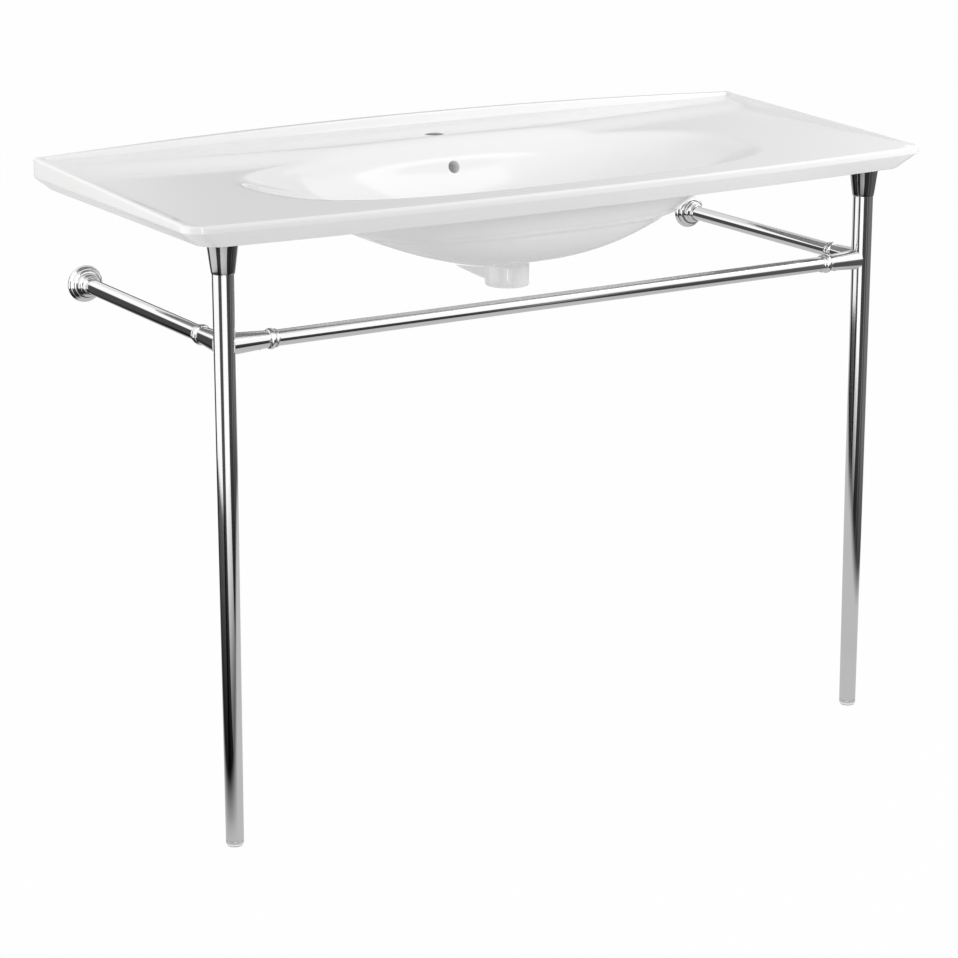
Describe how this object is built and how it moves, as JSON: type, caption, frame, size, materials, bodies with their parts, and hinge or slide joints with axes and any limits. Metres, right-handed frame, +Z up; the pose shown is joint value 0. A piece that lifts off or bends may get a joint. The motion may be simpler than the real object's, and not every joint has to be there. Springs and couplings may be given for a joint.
{
  "type": "console sink with legs",
  "caption": "Wide white console basin with a raised back edge on two tapered polished legs, with a front towel bar and side rails back to stepped wall roses.",
  "frame": {"origin": "on the floor, under the middle of the basin's plan", "axes": "+X to the right as seen from the front, +Y from the front edge to the wall, +Z up"},
  "size_m": [1.2, 0.521, 0.9009],
  "materials": {
    "glaze": "glossy white glaze",
    "bright_metal": "bright polished",
    "steel": "plain",
    "soft_pad": "matt",
    "insert": "matt"
  },
  "bodies": {
    "sink": {"basin": "glaze", "cross_bar": "bright_metal", "capital_studs": "steel", "socket_grub_screws": "steel", "plate_screws": "steel", "leg_tube_left": "bright_metal", "leg_capital_left": "bright_metal", "capital_pad_left": "soft_pad", "foot_insert_left": "insert", "side_rail_left": "bright_metal", "cross_socket_left": "bright_metal", "rail_socket_left": "bright_metal", "cross_collar_left": "bright_metal", "rail_collar_left": "bright_metal", "wall_plate_left": "steel", "leg_tube_right": "bright_metal", "leg_capital_right": "bright_metal", "capital_pad_right": "soft_pad", "foot_insert_right": "insert", "side_rail_right": "bright_metal", "cross_socket_right": "bright_metal", "rail_socket_right": "bright_metal", "cross_collar_right": "bright_metal", "rail_collar_right": "bright_metal", "wall_plate_right": "steel"},
    "left_foot": {"foot_left": "bright_metal", "foot_glide_left": "soft_pad"},
    "left_rose": {"wall_rose_left": "bright_metal"},
    "right_foot": {"foot_right": "bright_metal", "foot_glide_right": "soft_pad"},
    "right_rose": {"wall_rose_right": "bright_metal"}
  },
  "joints": [
    {"name": "left_foot_screw", "type": "slide", "parent": "sink", "child": "left_foot", "axis": [0, 0, -1], "range_m": [0, 0.015]},
    {"name": "left_rose_slide", "type": "slide", "parent": "sink", "child": "left_rose", "axis": [0, -1, 0], "range_m": [0, 0.06]},
    {"name": "right_foot_screw", "type": "slide", "parent": "sink", "child": "right_foot", "axis": [0, 0, -1], "range_m": [0, 0.015]},
    {"name": "right_rose_slide", "type": "slide", "parent": "sink", "child": "right_rose", "axis": [0, -1, 0], "range_m": [0, 0.06]}
  ]
}
